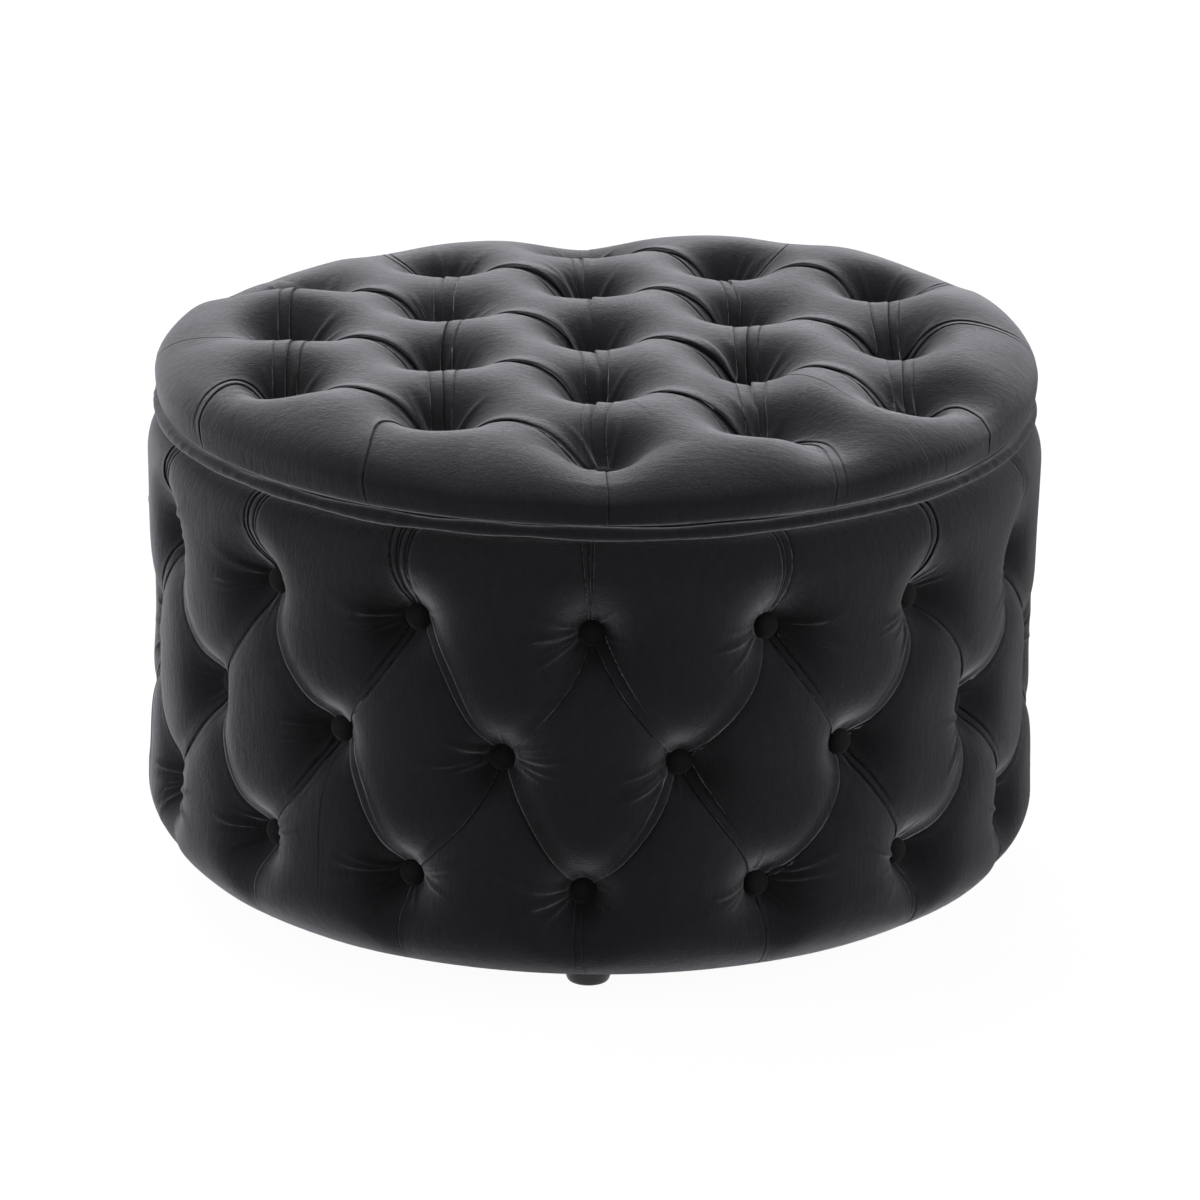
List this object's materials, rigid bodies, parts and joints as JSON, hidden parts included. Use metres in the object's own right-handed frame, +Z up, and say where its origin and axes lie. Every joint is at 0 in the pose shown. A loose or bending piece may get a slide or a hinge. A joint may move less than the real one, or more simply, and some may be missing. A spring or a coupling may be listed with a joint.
{
  "type": "storage ottoman",
  "caption": "Round diamond-tufted velvet ottoman on bun feet, with a deep-tufted padded lid that lifts off a lined storage space.",
  "frame": {"origin": "on the floor, under the middle of the drum", "axes": "+Z up, along which the lid lifts off; the front, with the foot nearest the viewer, faces -Y"},
  "size_m": [0.7418, 0.744, 0.4916],
  "materials": {
    "charcoal_velvet": "matte cut-pile velvet",
    "button_velvet": "matte cut-pile velvet",
    "black_lining": "matte non-woven cloth",
    "pale_wood": "raw plywood and pine",
    "brown_hardboard": "smooth raw hardboard",
    "cream_foam": "open-cell foam",
    "tie_twine": "waxed twine",
    "zinc_steel": "zinc plated",
    "black_foot": "satin moulded",
    "grey_felt": "pressed felt"
  },
  "bodies": {
    "drum": {"base_board": "pale_wood", "lower_ring": "pale_wood", "frame_posts": "pale_wood", "upper_ring": "pale_wood", "frame_screws": "zinc_steel", "hardboard_wrap": "brown_hardboard", "side_foam": "cream_foam", "side_cover": "charcoal_velvet", "top_button_row": "button_velvet", "middle_button_row": "button_velvet", "bottom_button_row": "button_velvet", "side_button_ties": "tie_twine", "rim_cloth": "charcoal_velvet", "wall_lining": "black_lining", "floor_panel": "brown_hardboard", "floor_cloth": "black_lining", "bottom_hem": "charcoal_velvet", "dust_cover": "black_lining", "base_staples": "zinc_steel", "feet": "black_foot", "felt_glides": "grey_felt", "foot_bolts": "zinc_steel", "tee_nuts": "zinc_steel"},
    "lid": {"lid_board": "pale_wood", "lid_foam": "cream_foam", "lid_cover": "charcoal_velvet", "lid_buttons": "button_velvet", "lid_button_ties": "tie_twine", "lid_welt": "charcoal_velvet", "lid_band": "charcoal_velvet", "lid_lining": "black_lining", "lid_staples": "zinc_steel", "insert_board": "pale_wood", "insert_lining": "black_lining", "insert_screws": "zinc_steel"}
  },
  "joints": [
    {"name": "lid_lift", "type": "slide", "parent": "drum", "child": "lid", "axis": [0, 0, 1], "range_m": [0, 0.3]}
  ]
}
